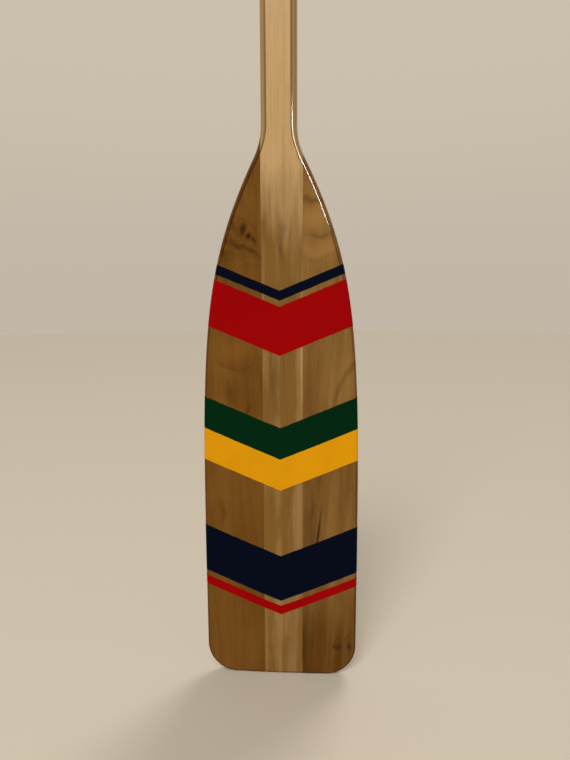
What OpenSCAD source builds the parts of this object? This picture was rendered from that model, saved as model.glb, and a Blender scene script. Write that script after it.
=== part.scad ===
// Rowing oar with a laminated blade, a stitched leather and a leather button.
// Millimetres. The oar stands upright: tip at z = 0, handle at the top, front face towards -Y.

/* [Blade] */
// Widest width of the blade
blade_w = 165; // [140:1:190]
// Corner radius at the tip
tip_r = 33; // [15:1:45]
// Height at which the straight sides begin to draw in
side_top = 118; // [80:1:200]
// Height at which the throat has become the neck
neck_z = 583; // [540:1:640]
// Angle between the throat's sides and the length of the oar
throat_angle = 27; // [20:1:35]
// Radius of the curve from throat into neck
throat_r = 67; // [40:1:100]
// Half the thickness of the blade at its edge
edge_h = 4.5; // [4:0.1:6]
// Rise of each face from the edge to the middle
crown_h = 3.1; // [1:0.1:5]
// Rounding of the blade's edges
edge_r = 2.5; // [1:0.1:3.5]

/* [Boards] */
// Distance from the centre line to the left glue joint
left_joint = 18; // [17.8:0.1:30]
// Distance from the centre line to the right glue joint
right_joint = 23.5; // [18:0.1:30]

/* [Neck and loom] */
// Width of the neck
neck_w = 35; // [30:0.5:35]
// Thickness of the neck
neck_t = 29; // [26:0.5:36]
// Rounding of the neck's long edges
neck_r = 6; // [3:0.5:8]
// Height at which the neck starts to turn round
round_start = 740; // [700:10:800]
// Height at which the loom is fully round
round_end = 900; // [860:10:960]
// Diameter of the round loom
loom_d = 38; // [36:0.5:45]

/* [Handle] */
// Length of the whole oar
oar_l = 1830; // [1700:10:2100]
// Diameter of the handle
handle_d = 34; // [30:0.5:36]
// Length of the handle's straight barrel
handle_l = 150; // [120:5:200]

/* [Leather] */
// Height of the leather's lower edge
leather_z = 1040; // [1000:10:1100]
// Length of the leather along the loom
leather_l = 280; // [200:10:300]
// Thickness of the leather
leather_t = 2.4; // [1.5:0.1:4]
// Width of the button's straps
button_w = 22; // [15:1:30]
// Thickness of one button strap
strap_t = 3.2; // [2:0.1:5]
// Length of leather left above the button
button_margin = 16; // [12:1:30]

/* [Fastenings] */
// Diameter of a copper tack's head
tack_head_d = 6.4; // [5:0.1:8]
// Diameter of a copper tack's shank
tack_shank_d = 1.8; // [1.5:0.1:2.5]
// Depth that a tack goes into the wood
tack_depth = 6; // [4:1:10]
// Tacks round each end of the leather
sleeve_tack_count = 6; // [4:1:8]
// Tacks round the button
button_tack_count = 8; // [6:2:10]
// Diameter of the twine that closes the leather's seam
twine_d = 1.2; // [0.8:0.1:2]
// Distance between stitches
stitch_pitch = 8; // [6:1:12]

/* [Hidden] */
$fn = 96;
blade_half = blade_w / 2;
neck_half = neck_w / 2;
loom_r = loom_d / 2;
handle_r = handle_d / 2;
sleeve_r = loom_r + leather_t;
strap_in_r = sleeve_r + strap_t;
strap_out_r = strap_in_r + strap_t;
leather_top = leather_z + leather_l;
button_z = leather_top - button_margin - button_w;

tip_steps = 10;
side_steps = 3;
shoulder_steps = 14;
round_steps = 7;
stave_columns = 16;
wing_columns = 14;
crown_tip = 0.6;
thicken_start = 330;
thicken_end = 640;
rounding_end = 560;
flatten_start = 400;
shoulder_low = 259;
shoulder_high = 120;
// The hewn stave enters the turned loom by this much
overlap = 1;
// The hewn stave ends this much inside the turned loom's surface
tuck = 0.15;
blend_r = loom_r - tuck;

tack_head_h = 0.9;
tack_in_edge = 7;
seam_angle = 2;
seam_centre = 90;
stitch_l = 7;
stitch_slant = 40;
handle_ease = 25;
handle_dome = 7;
ease_steps = 8;
// Bevels on the cut edges of the leather
sleeve_bevel = 0.6;
inner_strap_bevel = 0.2;
outer_strap_bevel = 0.8;

// Eases from 0 to 1 as v goes from a to b
function ease(v, a, b) =
    let (t = min(1, max(0, (v - a) / (b - a))))
    t * t * (3 - 2 * t);

function mix(a, b, t) = a + (b - a) * t;

function bezier(p0, p1, p2, p3, t) =
    pow(1 - t, 3) * p0 + 3 * pow(1 - t, 2) * t * p1 + 3 * (1 - t) * t * t * p2 + pow(t, 3) * p3;

// ---- Outline: rows of [height, half width] from the tip up ----

tip_rows = [
    for (i = [0 : tip_steps])
        let (a = 90 * pow(i / tip_steps, 1.6))
        [tip_r * (1 - cos(a)), blade_half - tip_r + tip_r * sin(a)]
];

side_rows = [for (i = [1 : side_steps]) [mix(tip_r, side_top, i / side_steps), blade_half]];

throat = [neck_half + throat_r * (1 - cos(throat_angle)), neck_z - throat_r * sin(throat_angle)];
shoulder_end = throat + shoulder_high * [sin(throat_angle), -cos(throat_angle)];

shoulder_rows = [
    for (i = [1 : shoulder_steps])
        let (p = bezier(
            [blade_half, side_top], [blade_half, side_top + shoulder_low],
            shoulder_end, throat, i / shoulder_steps))
        [p.y, p.x]
];

// Half width inside the curve from throat into neck
function throat_half(z) = neck_half + throat_r - sqrt(pow(throat_r, 2) - pow(neck_z - z, 2));

// Height at which the outline crosses a glue joint and the wing runs out
function wing_top(joint) =
    neck_z - sqrt(pow(throat_r, 2) - pow(throat_r - joint + neck_half, 2));

blade_rows = concat(tip_rows, side_rows, shoulder_rows);
right_top = wing_top(right_joint);
left_top = wing_top(left_joint);
throat_rows = [
    for (z = [right_top, (right_top + left_top) / 2, left_top, neck_z]) [z, throat_half(z)]
];
neck_rows = [
    for (z = [(neck_z + thicken_end) / 2, thicken_end, round_start]) [z, neck_half]
];
round_rows = [
    for (i = [1 : round_steps])
        let (z = mix(round_start, round_end, i / round_steps))
        [z, mix(neck_half, blend_r, ease(z, round_start, round_end))]
];
stave_rows = concat(
    blade_rows, throat_rows, neck_rows, round_rows, [[round_end + overlap, blend_r]]
);

// ---- Thickness: half the thickness at any place on the face ----

function roundness(z) = ease(z, round_start, round_end);

function half_edge(z) =
    mix(mix(edge_h, neck_t / 2, ease(z, thicken_start, thicken_end)), blend_r, roundness(z));

function rounding(z) =
    mix(mix(edge_r, neck_r, ease(z, thicken_start, rounding_end)), blend_r, roundness(z));

function crown(z) =
    crown_h * mix(crown_tip, 1, ease(z, 0, side_top)) * (1 - ease(z, flatten_start, neck_z));

// Distance inwards from the outline
function inset(x, z, half) =
    z >= tip_r ? half - abs(x)
    : abs(x) <= blade_half - tip_r ? z
    : tip_r - norm([abs(x) - blade_half + tip_r, z - tip_r]);

function drop(d, r) = d >= r ? 0 : r - sqrt(r * r - pow(r - max(d, 0), 2));

function half_thickness(x, z, half) =
    let (crown_half = z < tip_r ? blade_half : half)
    half_edge(z) + crown(z) * (1 - pow(x / crown_half, 2)) - drop(inset(x, z, half), rounding(z));

// ---- Solids between a front and a back skin of rows and columns ----

function quad(a, b, c, d) = [[a, b, c], [a, c, d]];

// Triangles of a skin pair with `last` as its highest row index and columns 0 to n
function skin_faces(last, n, back) = [
    for (r = [0 : last - 1])
        let (lo = r * (n + 1), hi = lo + n + 1)
        each concat(
            [for (c = [0 : n - 1]) each quad(lo + c, hi + c, hi + c + 1, lo + c + 1)],
            [for (c = [0 : n - 1])
                each quad(back + lo + c, back + lo + c + 1, back + hi + c + 1, back + hi + c)],
            quad(back + lo, back + hi, hi, lo),
            quad(lo + n, hi + n, back + hi + n, back + lo + n)
        )
];

function bottom_faces(n, back) = [for (c = [0 : n - 1]) each quad(c, c + 1, back + c + 1, back + c)];

// Centre board, cut by the glue joints where the blade is wider than it
module stave_board() {
    n = stave_columns;
    front = [
        for (row = stave_rows)
            let (left = -min(row.y, left_joint), right = min(row.y, right_joint))
            for (c = [0 : n])
                let (x = mix(left, right, (1 - cos(180 * c / n)) / 2))
                [x, -half_thickness(x, row.x, row.y), row.x]
    ];
    back_skin = [for (p = front) [p.x, -p.y, p.z]];
    back = len(front);
    last = len(stave_rows) - 1;
    top = last * (n + 1);
    polyhedron(
        points = concat(front, back_skin),
        faces = concat(
            skin_faces(last, n, back),
            bottom_faces(n, back),
            [for (c = [1 : n - 2])
                each quad(top + c, back + top + c, back + top + c + 1, top + c + 1)],
            [[top, back + top + 1, top + 1], [top, back + top, back + top + 1]],
            [[top + n - 1, back + top + n - 1, top + n], [back + top + n - 1, back + top + n, top + n]]
        )
    );
}

// Board outside a glue joint on the +X side, running out to an edge at its top
module wing_board(joint, rows, top_z) {
    n = wing_columns;
    front = [
        for (row = rows, c = [0 : n])
            let (x = row.y - (row.y - joint) * pow(1 - c / n, 2))
            [x, -half_thickness(x, row.x, row.y), row.x]
    ];
    back_skin = [for (p = front) [p.x, -p.y, p.z]];
    back = len(front);
    last = len(rows) - 1;
    top = last * (n + 1);
    edge_y = half_edge(top_z) - rounding(top_z);
    front_end = 2 * back;
    back_end = front_end + 1;
    polyhedron(
        points = concat(front, back_skin, [[joint, -edge_y, top_z], [joint, edge_y, top_z]]),
        faces = concat(
            skin_faces(last, n, back),
            bottom_faces(n, back),
            [for (c = [0 : n - 1]) [top + c, front_end, top + c + 1]],
            [for (c = [0 : n - 1]) [back + top + c, back + top + c + 1, back_end]],
            quad(back + top, back_end, front_end, top),
            quad(top + n, front_end, back_end, back + top + n)
        )
    );
}

// ---- Turned loom and handle ----

module turned_loom() {
    barrel_top = oar_l - handle_dome;
    barrel_low = barrel_top - handle_l;
    neck_curve = [
        for (i = [0 : ease_steps])
            let (z = mix(barrel_low - handle_ease, barrel_low, i / ease_steps))
            [mix(loom_r, handle_r, ease(z, barrel_low - handle_ease, barrel_low)), z]
    ];
    dome = [for (a = [0 : 10 : 90]) [handle_r * cos(a), barrel_top + handle_dome * sin(a)]];
    rotate_extrude()
        polygon(concat([[0, round_end], [loom_r, round_end]], neck_curve, dome));
}

// ---- Fastenings ----

module around(count) {
    for (i = [0 : count - 1])
        rotate(seam_centre + (i + 0.5) * 360 / count)
            children();
}

// Places its children on a surface of radius r, pointing outwards
module on_surface(r, z) {
    translate([r, 0, z])
        rotate([0, 90, 0])
            children();
}

module at_sleeve_tacks() {
    for (z = [leather_z + tack_in_edge, leather_top - tack_in_edge])
        around(sleeve_tack_count)
            on_surface(sleeve_r, z)
                children();
}

module at_button_tacks() {
    around(button_tack_count)
        on_surface(strap_out_r, button_z + button_w / 2)
            children();
}

module shank(through) {
    length = through + tack_depth;
    translate([0, 0, -length])
        cylinder(h = length, d = tack_shank_d);
}

module tack(through) {
    head_r = tack_head_d / 2;
    rotate_extrude()
        polygon(concat([[0, 0]], [for (a = [0 : 15 : 90]) [head_r * cos(a), tack_head_h * sin(a)]]));
    shank(through);
}

button_through = leather_t + 2 * strap_t;

module tack_holes() {
    at_sleeve_tacks() shank(leather_t);
    at_button_tacks() shank(button_through);
}

// ---- Sub-parts ----

module loom_stave() {
    color("burlywood")
        difference() {
            union() {
                stave_board();
                turned_loom();
            }
            tack_holes();
        }
}

module left_wing() {
    color("peru")
        mirror([1, 0, 0])
            wing_board(left_joint, concat(blade_rows, [throat_rows[0], throat_rows[1]]), left_top);
}

module right_wing() {
    color("peru")
        wing_board(right_joint, blade_rows, right_top);
}

// Wrap of leather from radius a to radius b with a butt joint at the angle `seam`
module wrap(a, b, low, high, seam, bevel) {
    rotate(seam + seam_angle / 2)
        rotate_extrude(angle = 360 - seam_angle)
            polygon([
                [a, low], [b - bevel, low], [b, low + bevel],
                [b, high - bevel], [b - bevel, high], [a, high]
            ]);
}

module leather_sleeve() {
    color("saddlebrown")
        difference() {
            wrap(loom_r, sleeve_r, leather_z, leather_top, seam_centre, sleeve_bevel);
            tack_holes();
        }
}

module seam_stitches() {
    stitch_low = leather_z + 2 * tack_in_edge;
    count = floor((button_z - stitch_low - stitch_pitch) / stitch_pitch);
    color("wheat")
        for (i = [0 : count])
            translate([0, sleeve_r + twine_d / 2, stitch_low + i * stitch_pitch])
                rotate([0, 90 - stitch_slant, 0])
                    cylinder(h = stitch_l, d = twine_d, center = true, $fn = 24);
}

module sleeve_tacks() {
    color("chocolate")
        at_sleeve_tacks() tack(leather_t);
}

module button_inner_strap() {
    color("sienna")
        difference() {
            wrap(sleeve_r, strap_in_r, button_z, button_z + button_w, -seam_centre, inner_strap_bevel);
            tack_holes();
        }
}

module button_outer_strap() {
    color("sienna")
        difference() {
            wrap(strap_in_r, strap_out_r, button_z, button_z + button_w, seam_centre, outer_strap_bevel);
            tack_holes();
        }
}

module button_tacks() {
    color("chocolate")
        at_button_tacks() tack(button_through);
}

loom_stave();
left_wing();
right_wing();
leather_sleeve();
seam_stitches();
sleeve_tacks();
button_inner_strap();
button_outer_strap();
button_tacks();
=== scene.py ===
# %% [markdown]
# # A rowing oar
# This lesson dresses a rowing oar: a laminated wooden blade under gloss varnish with painted
# chevrons, a round loom, a stitched leather with its button, and a bare turned handle. The solid
# model is already made and is loaded as a fixed frame. The first cell loads it and keeps its box,
# because nothing made here may be bigger than the real oar.

# %% Load the frame
import math

import bmesh
import bpy
from mathutils import Euler, Matrix, Vector, noise


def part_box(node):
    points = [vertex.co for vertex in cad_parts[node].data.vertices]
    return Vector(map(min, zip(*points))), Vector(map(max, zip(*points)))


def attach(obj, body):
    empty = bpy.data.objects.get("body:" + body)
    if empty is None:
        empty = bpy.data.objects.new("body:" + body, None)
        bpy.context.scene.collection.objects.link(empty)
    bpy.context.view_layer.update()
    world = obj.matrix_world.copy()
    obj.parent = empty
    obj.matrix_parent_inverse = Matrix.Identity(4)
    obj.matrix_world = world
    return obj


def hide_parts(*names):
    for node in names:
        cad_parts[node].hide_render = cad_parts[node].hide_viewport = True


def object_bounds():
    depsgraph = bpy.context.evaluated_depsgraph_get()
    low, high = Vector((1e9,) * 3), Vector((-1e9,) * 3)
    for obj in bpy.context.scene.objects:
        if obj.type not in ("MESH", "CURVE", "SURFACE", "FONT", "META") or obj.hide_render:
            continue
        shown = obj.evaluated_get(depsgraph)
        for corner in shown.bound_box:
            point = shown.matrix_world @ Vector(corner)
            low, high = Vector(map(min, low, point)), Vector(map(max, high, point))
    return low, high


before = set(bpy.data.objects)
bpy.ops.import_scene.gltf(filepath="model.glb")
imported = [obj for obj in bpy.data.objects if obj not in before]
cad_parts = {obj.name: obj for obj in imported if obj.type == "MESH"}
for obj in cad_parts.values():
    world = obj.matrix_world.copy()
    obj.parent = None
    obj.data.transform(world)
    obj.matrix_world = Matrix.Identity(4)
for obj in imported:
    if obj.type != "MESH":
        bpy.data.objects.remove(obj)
cad_low, cad_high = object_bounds()
print("frame box", [round(v, 4) for v in (*cad_low, *cad_high)])

# %% [markdown]
# ## Sizes
# Everything that the frame knows is read from it: the width of the blade, the glue joints, the
# loom, the leather. The rest are the oar maker's own numbers, in millimetres turned to metres.
# The wood is kept one coat of paint inside the frame's outline, so that the painted bands,
# which are thin skins of their own, still end inside the frame's box.

# %% Sizes of the oar
MM = 0.001
paint_t = 0.15 * MM
_, stave_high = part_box("loom_stave")
sleeve_low, sleeve_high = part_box("leather_sleeve")
inner_strap_low, inner_strap_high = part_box("button_inner_strap")
outer_strap_low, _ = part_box("button_outer_strap")
_, left_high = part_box("left_wing")
right_low, right_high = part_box("right_wing")

blade_half = cad_high.x - paint_t
left_joint = -left_high.x
right_joint = right_low.x
loom_r = stave_high.y
oar_top = stave_high.z

tip_r = 33 * MM
side_top = 118 * MM
neck_z = 583 * MM
neck_half = 17.5 * MM
neck_edge = 14.5 * MM
neck_round = 6 * MM
throat_r = 67 * MM
throat_angle = math.radians(27)
shoulder_low = 259 * MM
shoulder_high = 120 * MM
edge_half = 4.5 * MM
edge_round = 2.5 * MM
crown_rise = 3.1 * MM
crown_at_tip = 0.6
thicken = (330 * MM, 640 * MM)
round_off = (330 * MM, 560 * MM)
flatten = (400 * MM, neck_z)
turn_round = (740 * MM, 900 * MM)

handle_r = 17 * MM
handle_dome = 7 * MM
barrel_top = oar_top - handle_dome
barrel_low = barrel_top - 150 * MM
handle_taper = (barrel_low - 25 * MM, barrel_low)
print("blade", round(2 * blade_half, 4), "wide, joints at", round(-left_joint, 4), round(right_joint, 4))

# %% [markdown]
# ## The shape of the oar as two functions
# An oar is hewn from a flat blank, so its shape is told by two rules: how wide it is at each
# height, and how thick it is at each place on its face. The width follows a rounded tip, straight
# sides, a long shoulder curve that draws in to the throat, and a fillet into the neck. The
# thickness is a low crown that falls away in a round at the edges. As the neck turns round, the
# round at the edge grows until the section is a circle. Writing the rules once lets the three
# boards and every coat of paint share the same skin.

# %% Width at each height
def ease(value, start, end):
    t = min(1.0, max(0.0, (value - start) / (end - start)))
    return t * t * (3 - 2 * t)


def mix(a, b, t):
    return a + (b - a) * t


throat = Vector((
    neck_half + throat_r * (1 - math.cos(throat_angle)),
    neck_z - throat_r * math.sin(throat_angle),
))
shoulder_points = (
    Vector((blade_half, side_top)),
    Vector((blade_half, side_top + shoulder_low)),
    throat + shoulder_high * Vector((math.sin(throat_angle), -math.cos(throat_angle))),
    throat,
)


def shoulder(t):
    a, b, c, d = shoulder_points
    s = 1 - t
    return s**3 * a + 3 * s * s * t * b + 3 * s * t * t * c + t**3 * d


def shoulder_half(z):
    low, high = 0.0, 1.0
    for _ in range(40):
        middle = (low + high) / 2
        if shoulder(middle).y < z:
            low = middle
        else:
            high = middle
    return shoulder(low).x


def half_width(z):
    if z < tip_r:
        return blade_half - tip_r + math.sqrt(max(0.0, tip_r**2 - (tip_r - z) ** 2))
    if z < side_top:
        return blade_half
    if z < throat.y:
        return shoulder_half(z)
    if z < neck_z:
        return neck_half + throat_r - math.sqrt(throat_r**2 - (neck_z - z) ** 2)
    if z < handle_taper[0]:
        return mix(neck_half, loom_r, ease(z, *turn_round))
    if z < barrel_top:
        return mix(loom_r, handle_r, ease(z, *handle_taper))
    return handle_r * math.sqrt(max(0.0, 1 - ((z - barrel_top) / handle_dome) ** 2))


print("half width at 0.10, 0.45 and 0.60 m:", [round(half_width(z), 4) for z in (0.10, 0.45, 0.60)])

# %% Thickness at each place
def inset_at(x, z, half):
    """How far a place on the face lies inside the outline."""
    inset = half - abs(x)
    if z < tip_r:
        corner = Vector((abs(x) - half_width(tip_r) + tip_r, z - tip_r))
        inset = z if corner.x <= 0 else tip_r - corner.length
    return max(0.0, inset)


def half_thickness(x, z, half):
    if z >= turn_round[1]:
        return math.sqrt(max(0.0, half * half - x * x))
    turned = ease(z, *turn_round)
    edge = mix(mix(edge_half, neck_edge, ease(z, *thicken)), loom_r, turned)
    rounding = mix(mix(edge_round, neck_round, ease(z, *round_off)), loom_r, turned)
    crown = crown_rise * mix(crown_at_tip, 1, ease(z, 0, side_top)) * (1 - ease(z, *flatten))
    inset = inset_at(x, z, half)
    fall = rounding - math.sqrt(rounding**2 - (rounding - inset) ** 2) if inset < rounding else 0.0
    across = x / (blade_half if z < tip_r else half)
    return edge + crown * (1 - across * across) - fall


def rim_at(x, z):
    """0 at the outline, rising to 1 where the rounded edge meets the flat face."""
    if z >= turn_round[1]:
        return 1.0
    rounding = mix(edge_round, neck_round, ease(z, *round_off))
    inset = inset_at(x, z, half_width(z))
    return mix(min(1.0, inset / rounding), 1.0, ease(z, *turn_round))


print("blade thickness in the middle:", round(2 * half_thickness(0, 0.25, blade_half), 4))

# %% [markdown]
# ## Helpers for pieces
# A board starts as a flat blank: a grid of squares that is extruded once, so that it has a front
# skin, a back skin and edges. Carving moves each corner of the blank to its place on the oar.
# The square corners at the glue joints stay sharp, and the rounds are shaded smooth, which is
# decided by the angle between neighbouring faces.

# %% Blanks and finished pieces
merge_gap = 0.002 * MM


def blank(columns, rows):
    bm = bmesh.new()
    bmesh.ops.create_grid(bm, x_segments=columns, y_segments=rows, size=0.5)
    grown = bmesh.ops.extrude_face_region(bm, geom=bm.faces[:])["geom"]
    back = [v for v in grown if isinstance(v, bmesh.types.BMVert)]
    bmesh.ops.translate(bm, verts=back, vec=(0, 0, 1))
    bmesh.ops.translate(bm, verts=bm.verts, vec=(0.5, 0.5, 0))
    return bm


def carve(bm, place):
    for v in bm.verts:
        v.co = place(*v.co)


# The rim value says where the wood's finish paints shade on the rounded edges.
def mark_rim(bm):
    layer = bm.verts.layers.float.new("rim")
    for v in bm.verts:
        v[layer] = rim_at(v.co.x, v.co.z)


def add_piece(name, bm, materials, slot, sharp=40, nodes=()):
    bmesh.ops.remove_doubles(bm, verts=bm.verts, dist=merge_gap)
    bmesh.ops.dissolve_degenerate(bm, edges=bm.edges, dist=merge_gap / 2)
    bmesh.ops.recalc_face_normals(bm, faces=bm.faces)
    for face in bm.faces:
        face.smooth = True
    for edge in bm.edges:
        edge.smooth = edge.calc_face_angle(0) < math.radians(sharp)
    mesh = bpy.data.meshes.new(name)
    bm.to_mesh(mesh)
    open_edges = sum(1 for edge in bm.edges if not edge.is_manifold)
    bm.free()
    piece = bpy.data.objects.new(name, mesh)
    bpy.context.collection.objects.link(piece)
    for material in materials:
        mesh.materials.append(material)
    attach(piece, "root")
    if nodes:
        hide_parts(*nodes)
    print(name, len(mesh.polygons), "faces,", open_edges, "open edges")
    return piece


# %% [markdown]
# ## Helpers for materials
# A finish is a small graph of nodes. Two short helpers keep the graphs readable: one adds a node
# and fills or links its inputs, the other does arithmetic. Every pattern reads Object
# coordinates, which here are the oar's own metres, so grain and wear stay where they are put.

# %% Node helpers
def new_finish(name):
    material = bpy.data.materials.new(name)
    material.use_nodes = True
    return material, material.node_tree, material.node_tree.nodes["Principled BSDF"]


def fill(tree, socket, value):
    if isinstance(value, bpy.types.NodeSocket):
        tree.links.new(value, socket)
    else:
        socket.default_value = value


def add(tree, kind, settings=(), **inputs):
    node = tree.nodes.new("ShaderNode" + kind)
    for key, value in dict(settings).items():
        setattr(node, key, value)
    for key, value in inputs.items():
        fill(tree, node.inputs[key.replace("_", " ")], value)
    return node


def calc(tree, operation, *values, clamp=False):
    node = tree.nodes.new("ShaderNodeMath")
    node.operation = operation
    node.use_clamp = clamp
    for socket, value in zip(node.inputs, values):
        fill(tree, socket, value)
    return node.outputs[0]


def between(tree, value, low, high, out_low=0.0, out_high=1.0):
    node = add(tree, "MapRange", {"interpolation_type": "SMOOTHSTEP"}, Value=value)
    for key, number in (("From Min", low), ("From Max", high), ("To Min", out_low), ("To Max", out_high)):
        fill(tree, node.inputs[key], number)
    return node.outputs[0]


def blend(tree, amount, a, b, mode="MIX"):
    node = add(tree, "Mix", {"data_type": "RGBA", "blend_type": mode})
    for socket, value in zip((node.inputs[0], node.inputs[6], node.inputs[7]), (amount, a, b)):
        fill(tree, socket, value)
    return node.outputs[2]


def stretched_noise(tree, coords, scale, detail=3.0, roughness=0.5):
    """Noise whose scale differs along x, y and z, in patches per metre."""
    spread = add(tree, "Mapping", Vector=coords, Scale=scale)
    return add(tree, "TexNoise", Vector=spread.outputs[0], Scale=1.0, Detail=detail, Roughness=roughness)


def rgb(r, g, b):
    return (r, g, b, 1.0)


# %% [markdown]
# ## Varnished wood
# Wood is grown in rings, and a board shows them as long lines where it is cut along the trunk.
# Here a field rises slowly across the board and is bent by soft noise; its level lines are the
# grain. Over that lie broad streaks of heartwood, clouds, fine fibres and short dark pores.
# Single features, such as a burr or a curl, are ovals and arcs placed one by one on coordinates that
# noise has bent a little, because nothing in a tree is a clean circle. Varnish is the smooth skin
# on top: a low roughness, and a very shallow ripple that breaks up its reflections. Shade is painted
# into the colour of the rounded edges, darkest next to the flat face; an attribute on the mesh says where.

# %% Marks in the wood
def oval(tree, coords, place, half_sizes, turn=0.0):
    """1 at the middle of an oval at place (x, z), fading to 0 outside it."""
    size = oval_size(tree, coords, place, half_sizes, turn)
    return calc(tree, "EXPONENT", calc(tree, "MULTIPLY", calc(tree, "MULTIPLY", size, size), -1.0))


def oval_size(tree, coords, place, half_sizes, turn=0.0):
    centred = add(
        tree, "Mapping", {"vector_type": "TEXTURE"}, Vector=coords,
        Location=(place[0], 0, place[1]), Rotation=(0, math.radians(turn), 0),
        Scale=(half_sizes[0], 1.0, half_sizes[1]),
    )
    flat = add(tree, "VectorMath", {"operation": "MULTIPLY"})
    fill(tree, flat.inputs[0], centred.outputs[0])
    fill(tree, flat.inputs[1], (1, 0, 1))
    size = add(tree, "VectorMath", {"operation": "LENGTH"})
    fill(tree, size.inputs[0], flat.outputs[0])
    return size.outputs["Value"]


def arc(tree, coords, place, half_sizes, width, turn=0.0):
    """1 on the outline of an oval, fading to 0 at `width` on either side, as a part of its size."""
    size = oval_size(tree, coords, place, half_sizes, turn)
    away = calc(tree, "ABSOLUTE", calc(tree, "SUBTRACT", size, 1.0))
    return between(tree, away, 0.0, width, 1.0, 0.0)


def most(tree, marks):
    result = marks[0]
    for mark in marks[1:]:
        result = calc(tree, "MAXIMUM", result, mark)
    return result


def scaled(tree, mark, amount):
    return calc(tree, "MULTIPLY", mark, amount)


def ovals(tree, rows):
    """The strongest of some ovals. A row is coordinates, place, half sizes, turn and strength."""
    return most(tree, [
        scaled(tree, oval(tree, where, place, half_sizes, turn), strength)
        for where, place, half_sizes, turn, strength in rows
    ])


# %% Wood under varnish
def wood(name, pale, brown, dark, lean, pitch, bend, figure, contrast=0.2, gloss=0.15, seed=0.0, cloudy=0.5):
    """figure(tree, coords, bent, z, streaks) gives the sockets of extra tone, dark and pale marks."""
    material, tree, shader = new_finish(name)
    coords = add(tree, "TexCoord").outputs["Object"]
    shift = add(tree, "Mapping", Vector=coords, Location=(seed, 0.37 * seed, 0.61 * seed)).outputs[0]
    x, y, z = add(tree, "SeparateXYZ", Vector=coords).outputs

    wander = stretched_noise(tree, shift, (14, 14, 1.6), detail=2.0).outputs["Fac"]
    wobble = stretched_noise(tree, shift, (55, 55, 9), detail=2.0).outputs["Fac"]
    field = calc(tree, "MULTIPLY_ADD", z, lean, x)
    field = calc(tree, "MULTIPLY_ADD", y, 0.6, field)
    field = calc(tree, "MULTIPLY_ADD", wander, bend, field)
    field = calc(tree, "MULTIPLY_ADD", wobble, bend * 0.12, field)
    turns = calc(tree, "MULTIPLY", field, 1 / pitch)
    ring = calc(tree, "FRACT", turns)
    late = between(tree, ring, 0.35, 0.94)
    fade = between(tree, ring, 0.94, 1.0, 1.0, 0.0)
    varied = add(tree, "TexWhiteNoise", {"noise_dimensions": "1D"}, W=calc(tree, "FLOOR", turns))
    lines = calc(tree, "MULTIPLY", calc(tree, "MULTIPLY", late, fade),
                 between(tree, varied.outputs["Value"], 0.0, 1.0, 0.15, 1.0))

    streaks = stretched_noise(tree, shift, (90, 90, 2.2), detail=4.0, roughness=0.6).outputs["Fac"]
    cloud = stretched_noise(tree, shift, (26, 26, 9), detail=4.0, roughness=0.6).outputs["Fac"]
    fibres = stretched_noise(tree, shift, (900, 900, 18), detail=3.0, roughness=0.7).outputs["Fac"]
    pores = stretched_noise(tree, shift, (1500, 1500, 60), detail=1.0).outputs["Fac"]

    warp = stretched_noise(tree, shift, (48, 48, 32), detail=2.0, roughness=0.5).outputs["Color"]
    push = add(tree, "VectorMath", {"operation": "MULTIPLY_ADD"})
    fill(tree, push.inputs[0], warp)
    fill(tree, push.inputs[1], (0.020, 0.0, 0.030))
    fill(tree, push.inputs[2], coords)
    bent = add(tree, "VectorMath", {"operation": "SUBTRACT"})
    fill(tree, bent.inputs[0], push.outputs[0])
    fill(tree, bent.inputs[1], (0.010, 0.0, 0.015))
    tone, dark_marks, pale_marks = figure(tree, coords, bent.outputs[0], z, streaks)

    streaky = calc(tree, "MULTIPLY", streaks, 1 - cloudy)
    broad = calc(tree, "MULTIPLY_ADD", cloud, cloudy, streaky)
    depth = calc(tree, "MULTIPLY_ADD", between(tree, broad, 0.34, 0.68), 0.6, tone, clamp=True)
    colour = blend(tree, depth, pale, brown)
    colour = blend(tree, scaled(tree, lines, contrast), colour, dark)
    colour = blend(tree, between(tree, fibres, 0.42, 0.62, 0.0, 0.12), colour, dark)
    colour = blend(tree, between(tree, pores, 0.70, 0.78, 0.0, 0.30), colour, dark)
    colour = blend(tree, pale_marks, colour, rgb(*[min(1.0, c * 1.25) for c in pale[:3]]))
    colour = blend(tree, dark_marks, colour, rgb(*[c * 0.6 for c in dark[:3]]))
    # Painted shade: the rounded edges are darkened in the colour, darkest in a line next to the flat face
    # and half as dark at the outline, weaker low on the blade and fading out up the neck.
    rim = add(tree, "Attribute", {"attribute_name": "rim"}).outputs["Fac"]
    edge_shade_reach = between(tree, rim, 0.92, 1.0, 1.0, 0.0)
    painted_edge_shade = calc(tree, "MULTIPLY", edge_shade_reach, between(tree, rim, 0.50, 0.85, 0.50, 1.0))
    painted_edge_shade = calc(tree, "MULTIPLY", painted_edge_shade, between(tree, z, 0.36, 0.50, 0.60, 1.0))
    painted_edge_shade = calc(tree, "MULTIPLY", painted_edge_shade, between(tree, z, 0.68, 0.82, 1.0, 0.0))
    colour = blend(tree, painted_edge_shade, colour, rgb(0.42, 0.33, 0.24), mode="MULTIPLY")
    tree.links.new(colour, shader.inputs["Base Color"])

    ripple = stretched_noise(tree, coords, (70, 70, 45), detail=2.0).outputs["Fac"]
    relief = calc(tree, "MULTIPLY_ADD", fibres, 0.10, ripple)
    bump = add(tree, "Bump", Height=relief, Strength=0.3, Distance=0.10 * MM)
    tree.links.new(bump.outputs[0], shader.inputs["Normal"])
    shader.inputs["Roughness"].default_value = gloss
    shader.inputs["Specular IOR Level"].default_value = 0.42
    return material


# %% [markdown]
# The centre stave is a pale, straight wood. It is clean and light along the neck, and it picks up
# a grey-brown heartwood below the throat, with soft smudges where the two meet. That change is a
# tone that depends on the height, roughened by the same streaks as the grain. A thin line of pale
# sapwood runs beside the right joint for a short way, and the handle is the same board without
# varnish, so it is duller and a little greyed by hands.

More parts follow.
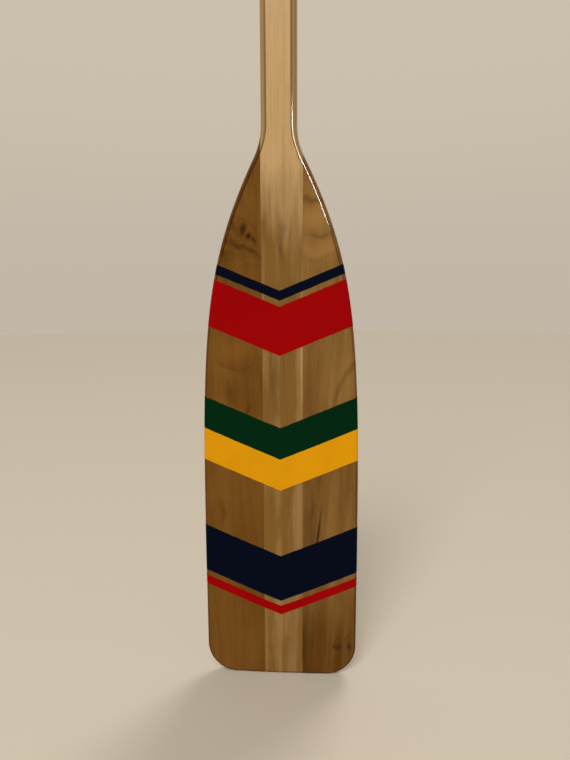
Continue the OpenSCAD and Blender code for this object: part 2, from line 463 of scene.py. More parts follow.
# %% Stave wood
def stave_figure(tree, coords, bent, z, streaks):
    centred = calc(tree, "SUBTRACT", streaks, 0.5)
    ragged = calc(tree, "MULTIPLY_ADD", centred, 0.20, z)
    tone = between(tree, ragged, 0.462, 0.528, 0.60, -0.05)
    tone = calc(tree, "ADD", tone, between(tree, z, 0.515, 0.560, 0.0, -0.23))
    lower = between(tree, z, 0.16, 0.34, 0.12, 0.0)
    smudges = ovals(tree, [
        (bent, (0.005, 0.482), (0.0048, 0.0120), 6, 0.44),
        (bent, (-0.014, 0.484), (0.0030, 0.0150), 4, 0.40),
        (bent, (-0.016, 0.470), (0.0012, 0.0200), 0, 0.30),
        (bent, (0.014, 0.476), (0.0020, 0.0200), 0, 0.22),
        (bent, (0.004, 0.460), (0.0030, 0.0120), 0, 0.34),
        (bent, (0.012, 0.395), (0.0070, 0.0280), 0, 0.44),
        (bent, (-0.005, 0.335), (0.0042, 0.0380), 0, 0.40),
        (coords, (-0.011, 0.330), (0.0007, 0.0700), 3, 0.34),
        (coords, (0.004, 0.345), (0.0008, 0.0600), -3, 0.30),
        (coords, (-0.009, 0.235), (0.0009, 0.0450), 1, 0.34),
        (bent, (0.006, 0.200), (0.0025, 0.0500), 0, 0.16),
        (bent, (0.016, 0.130), (0.0025, 0.0300), -6, 0.24),
    ])
    sapwood = scaled(tree, oval(tree, coords, (0.0222, 0.372), (0.0010, 0.0620)), 0.36)
    return calc(tree, "ADD", tone, lower), smudges, sapwood


stave_wood = wood(
    "varnished_stave_wood", pale=rgb(0.560, 0.370, 0.172), brown=rgb(0.226, 0.114, 0.024),
    dark=rgb(0.115, 0.064, 0.028), lean=0.006, pitch=6.5 * MM, bend=8 * MM, contrast=0.16,
    figure=stave_figure, seed=3.0, cloudy=0.45,
)


def plain_figure(tree, coords, bent, z, streaks):
    return between(tree, z, barrel_low, barrel_top, -0.05, 0.10), scaled(tree, streaks, 0.05), 0.0


handle_wood = wood(
    "bare_handle_wood", pale=rgb(0.47, 0.325, 0.18), brown=rgb(0.29, 0.18, 0.085),
    dark=rgb(0.12, 0.060, 0.020), lean=0.006, pitch=6.5 * MM, bend=8 * MM, contrast=0.22,
    figure=plain_figure, gloss=0.55, seed=3.0, cloudy=0.3,
)
print("stave wood has", len(stave_wood.node_tree.nodes), "nodes")

# %% [markdown]
# The two wings are sawn from browner boards, and each has its own figure. The left one has a dark
# burr below the throat, with streaks running out of it, and an arc of grain further down. The
# right one is more golden at its top, where a few broad curls cross the grain; it has a curved
# line beside the edge, a slanted dark streak near the joint and two pin knots at the tip.

# %% Left wing's wood
def left_figure(tree, coords, bent, z, streaks):
    burr = ovals(tree, [
        (bent, (-0.0300, 0.4790), (0.0042, 0.0052), 30, 1.00),
        (bent, (-0.0360, 0.4865), (0.0034, 0.0056), 25, 0.85),
        (bent, (-0.0460, 0.4900), (0.0050, 0.0026), 25, 0.46),
        (bent, (-0.0245, 0.4735), (0.0028, 0.0056), -10, 0.78),
        (bent, (-0.0420, 0.4680), (0.0120, 0.0034), 32, 0.60),
        (bent, (-0.0500, 0.4730), (0.0110, 0.0018), 34, 0.40),
        (bent, (-0.0320, 0.4620), (0.0140, 0.0028), 30, 0.58),
        (bent, (-0.0560, 0.4600), (0.0090, 0.0060), 20, 0.40),
    ])
    burr = most(tree, [
        burr,
        scaled(tree, arc(tree, coords, (-0.0400, 0.4830), (0.0200, 0.0110), 0.09, 32), 0.24),
        scaled(tree, arc(tree, coords, (-0.0330, 0.4780), (0.0100, 0.0130), 0.12, 20), 0.22),
    ])
    turned = add(tree, "Mapping", Vector=bent, Rotation=(0, math.radians(-35), 0), Scale=(60, 60, 300))
    flame = add(tree, "TexNoise", Vector=turned.outputs[0], Scale=1.0, Detail=2.0).outputs["Fac"]
    patch = oval(tree, coords, (-0.0440, 0.4690), (0.0230, 0.0190), 20)
    flames = calc(tree, "MULTIPLY", between(tree, flame, 0.44, 0.68, 0.0, 0.50), patch)
    bow = scaled(tree, arc(tree, coords, (-0.0450, 0.3560), (0.0200, 0.0130), 0.09), 0.26)
    bow = calc(tree, "MULTIPLY", bow, between(tree, z, 0.350, 0.354, 1.0, 0.0))
    low = ovals(tree, [
        (bent, (-0.0520, 0.3180), (0.0080, 0.0120), 0, 0.26),
        (bent, (-0.0340, 0.3020), (0.0016, 0.0090), 0, 0.42),
        (bent, (-0.0700, 0.2960), (0.0013, 0.0070), 0, 0.36),
        (bent, (-0.0640, 0.1900), (0.0034, 0.0180), 0, 0.34),
        (coords, (-0.0735, 0.1600), (0.0012, 0.0260), -4, 0.34),
    ])
    glow = ovals(tree, [
        (bent, (-0.0580, 0.3400), (0.0180, 0.0070), 20, 0.34),
        (bent, (-0.0450, 0.3660), (0.0260, 0.0140), -10, 0.42),
        (bent, (-0.0260, 0.5150), (0.0060, 0.0160), 0, 0.30),
        (bent, (-0.0380, 0.5020), (0.0080, 0.0040), 25, 0.20),
    ])
    return between(tree, z, 0.30, 0.46, 0.08, 0.16), most(tree, [burr, flames, bow, low]), glow


left_wood = wood(
    "varnished_left_wing_wood", pale=rgb(0.215, 0.096, 0.016), brown=rgb(0.112, 0.042, 0.004),
    dark=rgb(0.050, 0.016, 0.002), lean=0.10, pitch=12 * MM, bend=36 * MM, contrast=0.16,
    figure=left_figure, seed=11.0, cloudy=0.6,
)


# %% Right wing's wood
def right_figure(tree, coords, bent, z, streaks):
    curls = ovals(tree, [
        (bent, (0.0330, 0.5120), (0.0200, 0.0036), -6, 0.36),
        (bent, (0.0400, 0.4800), (0.0180, 0.0026), -12, 0.26),
        (bent, (0.0600, 0.4860), (0.0100, 0.0024), -28, 0.22),
        (bent, (0.0340, 0.4560), (0.0200, 0.0030), -8, 0.16),
    ])
    bow = scaled(tree, arc(tree, coords, (0.1100, 0.2880), (0.0560, 0.0760), 0.075), 0.30)
    bow = calc(tree, "MULTIPLY", bow, between(tree, z, 0.280, 0.320))
    line = scaled(tree, oval(tree, coords, (0.0770, 0.3020), (0.0012, 0.0140), 4), 0.30)
    streak = scaled(tree, oval(tree, coords, (0.0400, 0.1640), (0.0014, 0.0260), 7), 0.92)
    shade = ovals(tree, [
        (bent, (0.0310, 0.1600), (0.0060, 0.0450), 4, 0.36),
        (bent, (0.0270, 0.0400), (0.0060, 0.0500), 0, 0.38),
        (bent, (0.0340, 0.2900), (0.0080, 0.0300), 0, 0.20),
    ])
    band = scaled(tree, oval(tree, bent, (0.0350, 0.1880), (0.0026, 0.0200), 4), 0.46)
    knots = ovals(tree, [
        (coords, (0.0616, 0.0340), (0.0056, 0.0044), 20, 0.46),
        (coords, (0.0590, 0.0334), (0.0017, 0.0022), 0, 0.80),
        (coords, (0.0648, 0.0338), (0.0015, 0.0020), 0, 0.85),
        (coords, (0.0622, 0.0312), (0.0020, 0.0012), 0, 0.70),
        (coords, (0.0746, 0.0346), (0.0032, 0.0046), -20, 0.46),
        (coords, (0.0750, 0.0332), (0.0016, 0.0019), 0, 1.00),
        (bent, (0.0740, 0.0430), (0.0016, 0.0056), 20, 0.34),
        (bent, (0.0640, 0.0450), (0.0014, 0.0046), 0, 0.34),
    ])
    glow = ovals(tree, [
        (bent, (0.0360, 0.4960), (0.0190, 0.0090), -10, 0.80),
        (bent, (0.0460, 0.4660), (0.0260, 0.0090), -14, 0.75),
        (bent, (0.0300, 0.5240), (0.0100, 0.0120), 0, 0.36),
        (bent, (0.0640, 0.3300), (0.0180, 0.0300), 15, 0.26),
    ])
    golden_top = between(tree, z, 0.30, 0.46, 0.10, -0.10)
    dark_tip = between(tree, z, 0.03, 0.13, 0.52, 0.0)
    tone = calc(tree, "ADD", golden_top, dark_tip)
    return tone, most(tree, [curls, bow, line, streak, shade, band, knots]), glow


right_wood = wood(
    "varnished_right_wing_wood", pale=rgb(0.275, 0.146, 0.039), brown=rgb(0.128, 0.050, 0.006),
    dark=rgb(0.045, 0.014, 0.002), lean=-0.09, pitch=11 * MM, bend=30 * MM, contrast=0.16,
    figure=right_figure, seed=23.0, cloudy=0.5,
)

# %% [markdown]
# ## The three boards
# The stave runs the whole length of the oar: in the blade it lies between the glue joints, and
# above them it is the neck, the loom and the handle. Its rows lie closer together where the shape
# changes, at the tip, along the shoulder and on the handle's dome. The columns crowd towards the
# edges, so that the rounds stay round. A wing's columns crowd towards its outer edge, and its top
# row closes to the thin end where the outline crosses the joint.

# %% Rows along the oar
def steps(start, end, count):
    return [mix(start, end, i / count) for i in range(count)]


tip_rows = [tip_r * (1 - math.cos(math.pi / 2 * (i / 28) ** 1.3)) for i in range(28)]
blade_rows = tip_rows + steps(tip_r, side_top, 14) + steps(side_top, throat.y, 110)
neck_rows = steps(neck_z, turn_round[0], 20) + steps(turn_round[0], turn_round[1], 40)
loom_rows = steps(turn_round[1], handle_taper[0], 40) + steps(handle_taper[0], barrel_low, 12)
dome_rows = [barrel_top + handle_dome * math.sin(math.pi / 2 * i / 14) for i in range(15)]
stave_rows = (
    blade_rows + steps(throat.y, neck_z, 12) + neck_rows + loom_rows
    + steps(barrel_low, barrel_top, 6) + dome_rows
)
print(len(stave_rows), "rows from tip to handle")


# %% Centre stave
def place_stave(across, along, side):
    z = stave_rows[round(along * (len(stave_rows) - 1))]
    half = half_width(z)
    left, right = -min(half, left_joint), min(half, right_joint)
    x = mix(left, right, (1 - math.cos(math.pi * across)) / 2)
    y = half_thickness(x, z, half)
    return Vector((x, y if side > 0.5 else -y, z))


bm = blank(36, len(stave_rows) - 1)
carve(bm, place_stave)
mark_rim(bm)
stave = add_piece("centre_stave", bm, [stave_wood, handle_wood], "stave_wood", nodes=["loom_stave"])
for face in stave.data.polygons:
    face.material_index = 1 if face.center.z > handle_taper[0] else 0


# %% Wings
def make_wing(name, joint, top, side_sign, material, node):
    rows = [z for z in blade_rows if z < top]
    rows += [z for z in steps(throat.y, top, 12) if z > blade_rows[-1]]
    rows.append(top)

    def place(across, along, side):
        z = rows[round(along * (len(rows) - 1))]
        half = joint if z == top else half_width(z)
        x = half - (half - joint) * (1 - across) ** 2
        y = half_thickness(x, z, half)
        return Vector((side_sign * x, y if side > 0.5 else -y, z))

    board = blank(56, len(rows) - 1)
    carve(board, place)
    mark_rim(board)
    print(name, "half width at its top", round(half_width(top), 5))
    return add_piece(name, board, [material], "wing_wood", nodes=[node])


make_wing("left_wing_board", left_joint, left_high.z, -1, left_wood, "left_wing")
make_wing("right_wing_board", right_joint, right_high.z, 1, right_wood, "right_wing")

# %% [markdown]
# ## Painted chevrons
# The bands are gloss enamel brushed between strips of tape, so each is a skin of its own with a
# crisp edge. They could be drawn in the wood's material, but a separate thin ring keeps the edge
# sharp from every distance. A ring starts as a grid that is wrapped round the blade: along one
# face, over the edge, back along the other face. Every row is a V that dips towards the tip.
# Solidify then gives the ring the thickness of the coat.

# %% Enamel
def enamel(name, colour):
    material, tree, shader = new_finish(name)
    coords = add(tree, "TexCoord").outputs["Object"]
    patch = stretched_noise(tree, coords, (26, 26, 18), detail=3.0).outputs["Fac"]
    deeper = rgb(*[c * 0.72 for c in colour[:3]])
    worn = blend(tree, between(tree, patch, 0.35, 0.7, 0.0, 0.30), colour, deeper)
    tree.links.new(worn, shader.inputs["Base Color"])
    brushed = stretched_noise(tree, coords, (260, 260, 12), detail=2.0).outputs["Fac"]
    peel = stretched_noise(tree, coords, (85, 85, 70), detail=2.0).outputs["Fac"]
    relief = calc(tree, "MULTIPLY_ADD", brushed, 0.35, peel)
    bump = add(tree, "Bump", Height=relief, Strength=0.35, Distance=0.10 * MM)
    tree.links.new(bump.outputs[0], shader.inputs["Normal"])
    shader.inputs["Roughness"].default_value = 0.16
    shader.inputs["Specular IOR Level"].default_value = 0.22
    return material


red = enamel("red_enamel", rgb(0.335, 0.0, 0.001))
navy = enamel("navy_enamel", rgb(0.002, 0.004, 0.014))
green = enamel("green_enamel", rgb(0.0005, 0.024, 0.007))
yellow = enamel("yellow_enamel", rgb(0.75, 0.33, 0.001))

# %% Chevron rings
chevron_rise = 34 * MM
face_columns = 96
ring_row = 1.5 * MM
tape_lift = 0.35 * MM
tape_waves = 160
coat_t = 1.4 * paint_t
ring_columns = 2 * (face_columns + 1)


def chevron_ring(name, low, height, material, slot):
    rows = max(4, round(height / ring_row))

    def taped(x, up):
        """Where the tape lifted a little, the edge of the paint isn't quite straight."""
        nearness = abs(2 * up - 1) ** 6
        return tape_lift * nearness * noise.noise(Vector((x * tape_waves, low * 90 + up * 7, 0.3)))

    def place(around, up, _):
        column = round(around * ring_columns) % ring_columns
        on_front = column <= face_columns
        run = column / face_columns if on_front else 1 - (column - face_columns - 1) / face_columns
        across = -math.cos(math.pi * run)
        z = low + up * height
        for _ in range(4):
            x = across * half_width(z)
            z = low + up * height + chevron_rise * abs(x) / blade_half
        z += taped(x, up)
        half = half_width(z)
        x = across * half
        y = half_thickness(x, z, half) + paint_t
        return Vector((across * (half + paint_t), -y if on_front else y, z))

    ring = bmesh.new()
    bmesh.ops.create_grid(ring, x_segments=ring_columns, y_segments=rows, size=0.5)
    bmesh.ops.translate(ring, verts=ring.verts, vec=(0.5, 0.5, 0))
    carve(ring, place)
    bmesh.ops.remove_doubles(ring, verts=ring.verts, dist=merge_gap)
    bmesh.ops.recalc_face_normals(ring, faces=ring.faces)
    bmesh.ops.solidify(ring, geom=ring.faces[:], thickness=coat_t)
    return add_piece(name, ring, [material], slot)


chevrons = [
    ("navy_pin_chevron", 414, 10, navy, "enamel_navy"),
    ("red_chevron", 358, 50, red, "enamel_red"),
    ("green_chevron", 248, 34, green, "enamel_green"),
    ("yellow_chevron", 214, 34, yellow, "enamel_yellow"),
    ("navy_chevron", 88, 52, navy, "enamel_navy"),
    ("red_pin_chevron", 72, 10, red, "enamel_red"),
]
for name, low, height, material, slot in chevrons:
    chevron_ring(name, low * MM, height * MM, material, slot)

# %% [markdown]
# ## The leather sleeve
# Where the oar lies in its lock it wears a sleeve of harness leather. On the real oar that is a
# flat rectangle, soaked, wrapped round the loom and sewn edge to edge along the back, and it is
# made the same way here: a flat blank is wrapped into a tube with a narrow gap, and its cut edges
# are rounded with a bevel. Then the surface is pressed in where the work presses it: along the
# seam, at each stitch, under each tack, and round the middle, where the lock has worn it.

# %% Sizes of the leather and its fastenings
sleeve_r = -sleeve_low.x
strap_r = -inner_strap_low.x
button_r = -outer_strap_low.x
sleeve_z = (sleeve_low.z, sleeve_high.z)
button_z = (inner_strap_low.z, inner_strap_high.z)
seam_gap = math.radians(2)
seam_at = math.radians(90)
stitch_rows = (sleeve_z[0] + 14 * MM, 8 * MM, 28)
tack_in_edge = 7 * MM
sleeve_tack_count = 6
button_tack_count = 8
lock_wear = (sleeve_z[0] + 45 * MM, sleeve_z[1] - 90 * MM)


def round_places(count):
    return [seam_at + (i + 0.5) * math.tau / count for i in range(count)]


sleeve_tacks = [(angle, z) for z in (sleeve_z[0] + tack_in_edge, sleeve_z[1] - tack_in_edge)
                for angle in round_places(sleeve_tack_count)]
button_tacks = [(angle, sum(button_z) / 2) for angle in round_places(button_tack_count)]
print("leather from", round(sleeve_z[0], 3), "to", round(sleeve_z[1], 3), "m")


# %% Wrapping a strip round the loom
def wrap(columns, rows, inner, outer, heights, seam, rounding):
    """A strip bent into a tube with a gap at the angle `seam`, its cut edges rounded."""
    strip = blank(columns, rows)

    def place(across, along, side):
        angle = seam + seam_gap / 2 + across * (math.tau - seam_gap)
        radius = outer if side > 0.5 else inner
        return Vector((radius * math.cos(angle), radius * math.sin(angle), mix(*heights, along)))

    carve(strip, place)
    bmesh.ops.recalc_face_normals(strip, faces=strip.faces)
    corners = [edge for edge in strip.edges if edge.calc_face_angle(0) > math.radians(60)]
    bmesh.ops.bevel(
        strip, geom=corners, offset=rounding, segments=3, affect="EDGES", profile=0.5, material=-1,
    )
    return strip


def press(bm, inner, depth_at):
    """Moves the outer skin towards the loom by depth_at(angle, height)."""
    for v in bm.verts:
        radius = math.hypot(v.co.x, v.co.y)
        if radius > inner:
            share = min(1.0, (radius - inner) / MM)
            scale = 1 - share * depth_at(math.atan2(v.co.y, v.co.x), v.co.z) / radius
            v.co.x *= scale
            v.co.y *= scale


def dip(distance, reach):
    return 1 - ease(distance, 0, reach)


# %% Sleeve
seam_dip = 0.30 * MM
stitch_dip = 0.16 * MM
wear_dip = 0.35 * MM
tack_dip = 0.35 * MM
lump_dip = 0.08 * MM
lump_scale = 70
wear_fade = 25 * MM
sleeve_edge = 0.55 * MM


def on_tube(radius, angle, z):
    return Vector((radius * math.cos(angle), radius * math.sin(angle), z))


def tack_dent(place, radius, tacks, reach):
    return max(dip((place - on_tube(radius, angle, z)).length, reach) for angle, z in tacks)


def sleeve_dent(angle, z):
    place = on_tube(sleeve_r, angle, z)
    from_seam = abs(place.x) if place.y > 0 else sleeve_r
    start, pitch, count = stitch_rows
    dent = seam_dip * dip(from_seam, 4 * MM)
    if start - pitch / 2 < z < start + (count - 0.5) * pitch:
        phase = math.cos(math.tau * (z - start) / pitch)
        dent += stitch_dip * (1 + phase) * dip(abs(from_seam - 3 * MM), 2.4 * MM)
    low, high = lock_wear
    dent += wear_dip * ease(z, low - wear_fade, low) * (1 - ease(z, high, high + wear_fade))
    dent += tack_dip * tack_dent(place, sleeve_r, sleeve_tacks, 6 * MM)
    return dent + lump_dip * (1 + noise.noise(place * lump_scale))


sleeve_bm = wrap(132, 112, loom_r, sleeve_r, sleeve_z, seam_at, sleeve_edge)
press(sleeve_bm, loom_r + 0.4 * MM, sleeve_dent)


# %% [markdown]
# ## Leather finish
# Harness leather has a fine pebbled grain, small pores and a mottled oil stain. A voronoi pattern
# gives the pebbles and noise gives the rest. The lock polishes the middle and scuffs it round the
# loom, so there the grain is lighter and smoother; the cut edges are burnished dark.

# %% Leather
def leather(name, base, deep, pale, ends, worn_zone=None, grain=1.0):
    material, tree, shader = new_finish(name)
    coords = add(tree, "TexCoord").outputs["Object"]
    z = add(tree, "SeparateXYZ", Vector=coords).outputs["Z"]
    mottle = stretched_noise(tree, coords, (45, 45, 30), detail=4.0, roughness=0.6).outputs["Fac"]
    stain = stretched_noise(tree, coords, (12, 12, 9), detail=2.0).outputs["Fac"]
    scuff = stretched_noise(tree, coords, (34, 34, 420), detail=4.0, roughness=0.65).outputs["Fac"]
    patches = stretched_noise(tree, coords, (50, 50, 38), detail=3.0).outputs["Fac"]
    creases = stretched_noise(tree, coords, (60, 60, 240), detail=3.0, roughness=0.6).outputs["Fac"]
    pores = stretched_noise(tree, coords, (1800, 1800, 1800), detail=1.0).outputs["Fac"]
    pebbles = add(tree, "TexVoronoi", {"feature": "F1"}, Vector=coords, Scale=900.0).outputs["Distance"]

    colour = blend(tree, between(tree, mottle, 0.32, 0.70), base, deep)
    colour = blend(tree, between(tree, stain, 0.45, 0.70, 0.0, 0.45), colour, deep)
    colour = blend(tree, between(tree, pebbles, 0.25, 0.75, 0.0, 0.35), colour, deep)
    worn = 0.0
    if worn_zone:
        rise = between(tree, z, worn_zone[0] - 0.02, worn_zone[0] + 0.015)
        fall = between(tree, z, worn_zone[1] - 0.015, worn_zone[1] + 0.02, 1.0, 0.0)
        worn = calc(tree, "MULTIPLY", rise, fall)
        rubbed = calc(tree, "MULTIPLY", between(tree, scuff, 0.48, 0.74, 0.06, 0.60),
                      between(tree, patches, 0.35, 0.65, 0.25, 1.0))
        rubbed = calc(tree, "MULTIPLY", worn, rubbed)
        colour = blend(tree, rubbed, colour, pale)
    at_low = between(tree, z, ends[0] + 0.4 * MM, ends[0] + 2.2 * MM, 1.0, 0.0)
    at_high = between(tree, z, ends[1] - 2.2 * MM, ends[1] - 0.4 * MM)
    edge = calc(tree, "MAXIMUM", at_low, at_high)
    colour = blend(tree, scaled(tree, edge, 0.75), colour, rgb(*[c * 0.35 for c in deep[:3]]))
    tree.links.new(colour, shader.inputs["Base Color"])

    rough = between(tree, mottle, 0.3, 0.7, 0.46, 0.62)
    if worn_zone:
        rough = calc(tree, "MULTIPLY_ADD", worn, -0.16, rough)
    tree.links.new(rough, shader.inputs["Roughness"])
    relief = calc(tree, "MULTIPLY_ADD", pebbles, -0.7, calc(tree, "MULTIPLY", pores, 0.35))
    relief = calc(tree, "MULTIPLY_ADD", creases, 0.5, relief)
    bump = add(tree, "Bump", Height=relief, Strength=0.6, Distance=0.22 * MM * grain)
    tree.links.new(bump.outputs[0], shader.inputs["Normal"])
    shader.inputs["Specular IOR Level"].default_value = 0.40
    return material


sleeve_leather = leather(
    "oiled_sleeve_leather", base=rgb(0.150, 0.052, 0.018), deep=rgb(0.070, 0.022, 0.008),
    pale=rgb(0.260, 0.125, 0.058), ends=sleeve_z, worn_zone=lock_wear,
)
button_leather = leather(
    "thick_button_leather", base=rgb(0.105, 0.036, 0.013), deep=rgb(0.048, 0.016, 0.006),
    pale=rgb(0.200, 0.090, 0.040), ends=button_z, grain=1.3,
)
add_piece("leather_wrap", sleeve_bm, [sleeve_leather], "sleeve_leather", nodes=["leather_sleeve"])

# %% [markdown]
# ## The button
# The button is the collar that stops the oar from sliding out through the lock. It is built up
# from two thick straps, each wound once round the sleeve and butted, with the joints on opposite
# sides. They are wrapped like the sleeve, but with bigger rounds on the outer strap, and pulled
# in a little round each tack.

# %% Straps
strap_tack_dip = 0.45 * MM
butt_dip = 0.30 * MM
strap_lump_dip = 0.10 * MM
strap_lump_scale = 90
inner_edge = 0.45 * MM
outer_edge = 0.95 * MM


def strap_dent(angle, z):
    place = on_tube(button_r, angle, z)
    from_butt = abs(place.x) if place.y > 0 else button_r
    dent = strap_tack_dip * tack_dent(place, button_r, button_tacks, 7 * MM)
    dent += butt_dip * dip(from_butt, 3 * MM)
    return dent + strap_lump_dip * (1 + noise.noise(place * strap_lump_scale))


inner_bm = wrap(120, 12, sleeve_r, strap_r, button_z, -seam_at, inner_edge)
add_piece("inner_button_strap", inner_bm, [button_leather], "button_leather", nodes=["button_inner_strap"])
outer_bm = wrap(140, 14, strap_r, button_r, button_z, seam_at, outer_edge)
press(outer_bm, strap_r + 0.5 * MM, strap_dent)
add_piece("outer_button_strap", outer_bm, [button_leather], "button_leather", nodes=["button_outer_strap"])

# %% [markdown]
# ## Twine stitches
# The seam is closed with a herringbone stitch: the twine comes up through one edge, crosses to the
# middle of the seam, goes down, and comes up through the other edge half a step on. Each visible
# leg is a small arch, made by spinning a circle through a part of a turn about a centre under the
# leather, so both its ends dive into the surface.

# %% Stitches
def on_sleeve(across, z, sunk=0.0):
    radius = sleeve_r - sunk
    return Vector((across, math.sqrt(radius**2 - across**2), z))


def stitch_leg(bm, start, end, lift, twine_r):
    chord = end - start
    out = Vector((0, 1, 0))
    bend_r = (chord.length**2 / 4 + lift**2) / (2 * lift)
    turn = 2 * math.asin(chord.length / 2 / bend_r)
    along = chord.normalized()
    tangent = along * math.cos(turn / 2) + out * math.sin(turn / 2)
    facing = tangent.to_track_quat("Z", "Y").to_matrix().to_4x4()
    made = bmesh.ops.create_circle(
        bm, cap_ends=True, segments=8, radius=twine_r, matrix=Matrix.Translation(start) @ facing,
    )["verts"]
    edges = {edge for v in made for edge in v.link_edges}
    faces = {face for v in made for face in v.link_faces}
    centre = (start + end) / 2 - out * (bend_r - lift)
    bmesh.ops.spin(
        bm, geom=[*made, *edges, *faces], cent=centre, axis=along.cross(out) * -1, angle=turn, steps=6,
    )


stitch_bm = bmesh.new()
leg_in, leg_out, leg_rise = 0.15 * MM, 3.3 * MM, 3.0 * MM
outer_depth, inner_depth = 0.7 * MM, 0.9 * MM
leg_lift = 1.0 * MM
twine_half = 0.55 * MM
start, pitch, count = stitch_rows
for i in range(count):
    for side, late in ((-1, 0.0), (1, pitch / 2)):
        z = start + i * pitch + late
        outer_end = on_sleeve(side * leg_out, z, outer_depth)
        inner_end = on_sleeve(-side * leg_in, z + leg_rise, inner_depth)
        stitch_leg(stitch_bm, outer_end, inner_end, leg_lift, twine_half)


# %% Twine finish
def make_twine():
    material, tree, shader = new_finish("waxed_twine")
    coords = add(tree, "TexCoord").outputs["Object"]
    strands = add(tree, "TexWave", {"wave_type": "BANDS", "bands_direction": "Z"},
                  Vector=coords, Scale=420.0, Distortion=1.5, Detail=1.0).outputs["Fac"]
    dirt = stretched_noise(tree, coords, (120, 120, 25), detail=3.0).outputs["Fac"]
    colour = blend(tree, between(tree, dirt, 0.35, 0.70), rgb(0.56, 0.45, 0.27), rgb(0.25, 0.165, 0.08))
    colour = blend(tree, between(tree, strands, 0.0, 0.5, 0.45, 0.0), colour, rgb(0.16, 0.10, 0.045))
    tree.links.new(colour, shader.inputs["Base Color"])
    bump = add(tree, "Bump", Height=strands, Strength=0.7, Distance=0.18 * MM)
    tree.links.new(bump.outputs[0], shader.inputs["Normal"])
    shader.inputs["Roughness"].default_value = 0.6
    return material


add_piece("herringbone_stitches", stitch_bm, [make_twine()], "twine", sharp=60, nodes=["seam_stitches"])

# %% [markdown]
# ## Copper tacks
# The leather is held at its ends, and the button all round, by copper tacks. Only the domed heads
# show. A head is a short profile, spun a full turn about its own axis and then turned to point out
# of the leather. Copper darkens in the hollows and stays bright where it is rubbed.

# %% Tacks
# Millimetres from the tack's axis, and above the leather
head_profile = [
    (0, 0.90), (0.9, 0.86), (1.8, 0.69), (2.6, 0.40), (3.05, 0.14), (3.2, -0.12), (3.0, -0.35), (0, -0.35),
]
head_sunk = 0.15 * MM
most_nod = 0.05


def tack_head(bm, angle, z, radius, nod):
    made = [bm.verts.new((x * MM, 0, y * MM)) for x, y in head_profile]
    edges = [bm.edges.new(pair) for pair in zip(made, made[1:])]
    bmesh.ops.spin(
        bm, geom=[*made, *edges], cent=(0, 0, 0), axis=(0, 0, 1),
        angle=math.tau, steps=20, use_merge=True,
    )
    verts = list({v for v in bm.verts if not v.tag})
    out = Vector((math.cos(angle), math.sin(angle), nod))
    turn = out.to_track_quat("Z", "Y").to_matrix().to_4x4()
    place = Matrix.Translation(on_tube(radius, angle, z))
    bmesh.ops.transform(bm, matrix=place @ turn, verts=verts)
    for v in verts:
        v.tag = True


def make_copper():
    material, tree, shader = new_finish("darkened_copper")
    coords = add(tree, "TexCoord").outputs["Object"]
    tarnish = stretched_noise(tree, coords, (380, 380, 380), detail=4.0, roughness=0.65).outputs["Fac"]
    dents = add(tree, "TexVoronoi", {"feature": "F1"}, Vector=coords, Scale=650.0).outputs["Distance"]
    colour = blend(tree, between(tree, tarnish, 0.38, 0.62), rgb(0.72, 0.33, 0.18), rgb(0.26, 0.10, 0.055))
    tree.links.new(colour, shader.inputs["Base Color"])
    tree.links.new(between(tree, tarnish, 0.35, 0.65, 0.26, 0.52), shader.inputs["Roughness"])
    bump = add(tree, "Bump", Height=dents, Strength=0.35, Distance=0.15 * MM)
    tree.links.new(bump.outputs[0], shader.inputs["Normal"])
    shader.inputs["Metallic"].default_value = 1.0
    return material


copper = make_copper()
for name, places, radius, node in (
    ("sleeve_tack_heads", sleeve_tacks, sleeve_r, "sleeve_tacks"),
    ("button_tack_heads", button_tacks, button_r, "button_tacks"),
):
    heads = bmesh.new()
    for i, (angle, z) in enumerate(places):
        tack_head(heads, angle, z, radius - head_sunk, most_nod * math.sin(5 * i))
    add_piece(name, heads, [copper], "copper", sharp=70, nodes=[node])

# %% [markdown]
# ## Camera, light and floor
# The camera stands a little to the right and looks slightly down at the blade. The light is soft:
# a wide low sun and a large panel, both high in front, and a second sun behind so that the back
# isn't black. A narrow strip at the front right is seen only in the gloss, where it draws the thin
# bright line down the edge of the neck. The world has three jobs: a pale backdrop for the eye, an
# even fill for the surfaces, and for the gloss a room that is dark in front and pale behind, so
# that the colours stay deep and only the edges catch the light.

# %% Camera
camera_place = (0.0392, -0.5887, 0.4219)
camera_turn = (81.317, 0.185, 3.323)
camera_lens = 27.05
camera_data = bpy.data.cameras.new("camera")
camera_data.lens = camera_lens
camera_data.sensor_width = 36
camera = bpy.data.objects.new("camera", camera_data)
camera.location = camera_place
camera.rotation_euler = Euler([math.radians(a) for a in camera_turn])
bpy.context.collection.objects.link(camera)
bpy.context.scene.camera = camera
bpy.context.scene.view_settings.view_transform = "Standard"
print("camera looks along", [round(v, 3) for v in camera.rotation_euler.to_matrix() @ Vector((0, 0, -1))])


# %% Lights
def lamp(name, kind, place, aim, energy, colour=(1.0, 0.96, 0.90), in_gloss=True, in_fill=True):
    data = bpy.data.lights.new(name, kind)
    data.energy = energy
    data.color = colour
    made = bpy.data.objects.new(name, data)
    made.location = place
    made.rotation_euler = (Vector(aim) - Vector(place)).to_track_quat("-Z", "Y").to_euler()
    made.visible_camera = False
    made.visible_glossy = in_gloss
    made.visible_diffuse = in_fill
    bpy.context.collection.objects.link(made)
    return data


def panel(name, place, aim, width, height, energy, spread=180, **settings):
    data = lamp(name, "AREA", place, aim, energy, **settings)
    data.shape = "RECTANGLE"
    data.size, data.size_y = width, height
    data.spread = math.radians(spread)


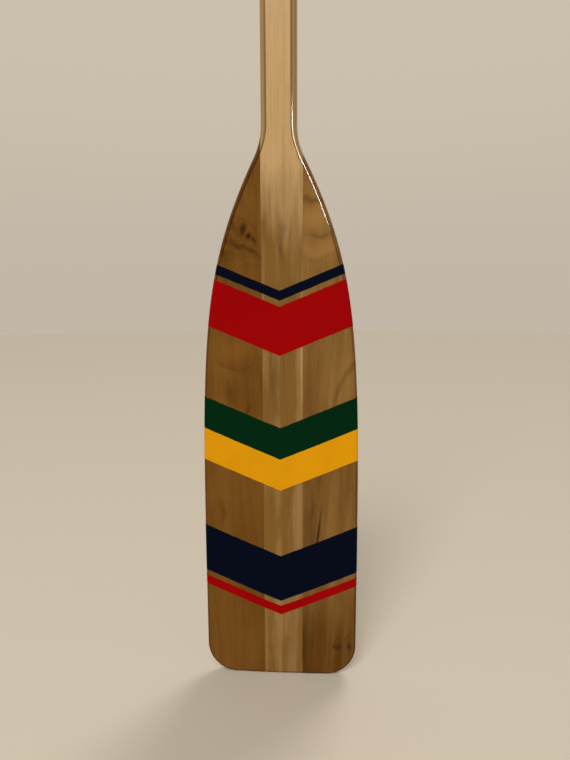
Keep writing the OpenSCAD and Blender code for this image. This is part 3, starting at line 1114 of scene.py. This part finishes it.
panel("key_panel", (-0.35, -1.9, 2.3), (0, 0, 0.5), width=1.2, height=1.2, energy=20)
panel(
    "edge_strip", (0.137, -0.228, 0.597), (0.045, 0, 0.53), width=0.022, height=0.13, energy=0.11,
    spread=60, in_fill=False,
)
softness = math.radians(30)
lamp("front_sun", "SUN", (-0.2, -1.0, 1.0), (0, 0, 0), energy=1.5).angle = softness
lamp("back_sun", "SUN", (0.5, 1.0, 1.0), (0, 0, 0), energy=1.4, in_gloss=False).angle = softness

# %% World
horizon = rgb(0.54, 0.475, 0.385)
zenith = rgb(0.60, 0.52, 0.42)
room_front = rgb(0.035, 0.032, 0.03)
room_back = rgb(0.52, 0.47, 0.40)
even_fill = rgb(0.34, 0.315, 0.28)
world = bpy.data.worlds.new("studio")
bpy.context.scene.world = world
world.use_nodes = True
world_tree = world.node_tree
rays = add(world_tree, "LightPath").outputs
towards = add(world_tree, "SeparateXYZ", Vector=add(world_tree, "TexCoord").outputs["Generated"]).outputs
upwards = between(world_tree, towards["Z"], -0.02, 0.40)
backwards = between(world_tree, towards["Y"], -0.10, 0.60)
shown = blend(world_tree, upwards, horizon, zenith)
gloss_room = blend(world_tree, backwards, room_front, room_back)
unseen = blend(world_tree, rays["Is Glossy Ray"], even_fill, gloss_room)
studio = blend(world_tree, rays["Is Camera Ray"], unseen, shown)
world_tree.links.new(studio, world_tree.nodes["Background"].inputs["Color"])

# %% Floor
floor_r = 6.0
floor_colour = rgb(0.56, 0.505, 0.42)
floor_bm = bmesh.new()
bmesh.ops.create_circle(floor_bm, cap_ends=True, segments=96, radius=floor_r)
floor_mesh = bpy.data.meshes.new("floor")
floor_bm.to_mesh(floor_mesh)
floor_bm.free()
floor = bpy.data.objects.new("floor", floor_mesh)
bpy.context.collection.objects.link(floor)
floor_finish, _, floor_shader = new_finish("pale_floor")
floor_shader.inputs["Base Color"].default_value = floor_colour
floor_shader.inputs["Roughness"].default_value = 0.7
floor_mesh.materials.append(floor_finish)
floor.visible_glossy = False
